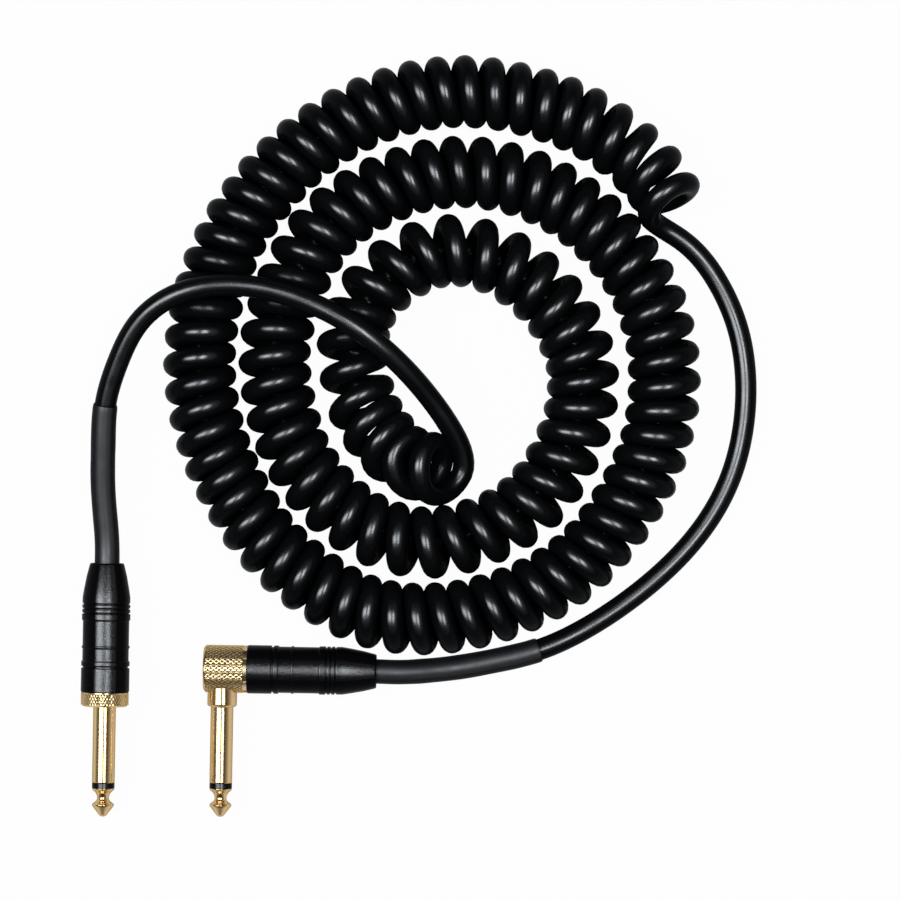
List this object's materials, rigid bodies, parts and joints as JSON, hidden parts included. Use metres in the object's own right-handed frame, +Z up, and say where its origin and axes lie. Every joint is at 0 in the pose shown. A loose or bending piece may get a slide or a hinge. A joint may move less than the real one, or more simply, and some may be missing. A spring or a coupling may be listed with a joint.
{
  "type": "instrument cable",
  "caption": "Curly instrument cable coiled flat, with a straight and a right-angled quarter-inch mono plug on plain leads under heat-shrink sleeves.",
  "frame": {"origin": "under the middle of the two plugs, on the plane the cable lies on", "axes": "+Z up; both contacts point along -Y; the cord leaves the straight plug along +Y and the right-angled plug along +X"},
  "size_m": [0.1888, 0.2153, 0.0272],
  "materials": {
    "gold_contact": "polished, gold plated",
    "pale_gold": "satin, gold plated",
    "black_barrel": "satin powder coat",
    "cord_jacket": "glossy",
    "heat_shrink": "satin",
    "black_insulator": "smooth",
    "inner_tube": "smooth",
    "brown_insulator": "smooth",
    "terminal": "tinned",
    "solder": "dull",
    "core_insulation": "smooth",
    "copper": "stranded",
    "liner": "smooth"
  },
  "bodies": {
    "cable": {"straight_tip": "gold_contact", "straight_tip_insulator": "black_insulator", "straight_core_tube": "inner_tube", "straight_shank": "gold_contact", "straight_rear_insulator": "brown_insulator", "straight_tip_terminal": "terminal", "straight_ground_terminal": "terminal", "straight_tip_solder": "solder", "straight_ground_solder": "solder", "straight_core_insulation": "core_insulation", "straight_core_strands": "copper", "straight_shield_tail": "copper", "straight_shrink_sleeve": "heat_shrink", "straight_lead": "cord_jacket", "curly_cord": "cord_jacket", "angled_lead": "cord_jacket", "angled_shrink_sleeve": "heat_shrink", "angled_shield_tail": "copper", "angled_core_strands": "copper", "angled_core_insulation": "core_insulation", "angled_ground_solder": "solder", "angled_tip_solder": "solder", "angled_ground_terminal": "terminal", "angled_tip_terminal": "terminal", "angled_rear_insulator": "brown_insulator", "angled_elbow": "gold_contact", "angled_elbow_cap": "gold_contact", "angled_notched_ring": "pale_gold", "angled_shank": "gold_contact", "angled_core_tube": "inner_tube", "angled_tip_insulator": "black_insulator", "angled_tip": "gold_contact"},
    "straight_liner": {"straight_liner": "liner"},
    "straight_barrel": {"straight_barrel": "black_barrel"},
    "angled_liner": {"angled_liner": "liner"},
    "angled_barrel": {"angled_barrel": "black_barrel"}
  },
  "joints": [
    {"name": "straight_barrel_draw", "type": "slide", "parent": "cable", "child": "straight_liner", "axis": [0, 1, 0], "range_m": [0, 0.005]},
    {"name": "straight_barrel_turn", "type": "hinge", "parent": "straight_liner", "child": "straight_barrel", "pos_m": [-0.0347, -0.0007, 0.0068], "axis": [0, 1, 0], "range_deg": [0, 1800]},
    {"name": "angled_barrel_draw", "type": "slide", "parent": "cable", "child": "angled_liner", "axis": [1, 0, 0], "range_m": [0, 0.005]},
    {"name": "angled_barrel_turn", "type": "hinge", "parent": "angled_liner", "child": "angled_barrel", "pos_m": [0.0052, 0.0065, 0.0068], "axis": [1, 0, 0], "range_deg": [0, 1800]}
  ],
  "couplings": [
    {"joint": "straight_barrel_draw", "follows": "straight_barrel_turn", "m_per_rad": 0.00015915},
    {"joint": "angled_barrel_draw", "follows": "angled_barrel_turn", "m_per_rad": 0.00015915}
  ]
}
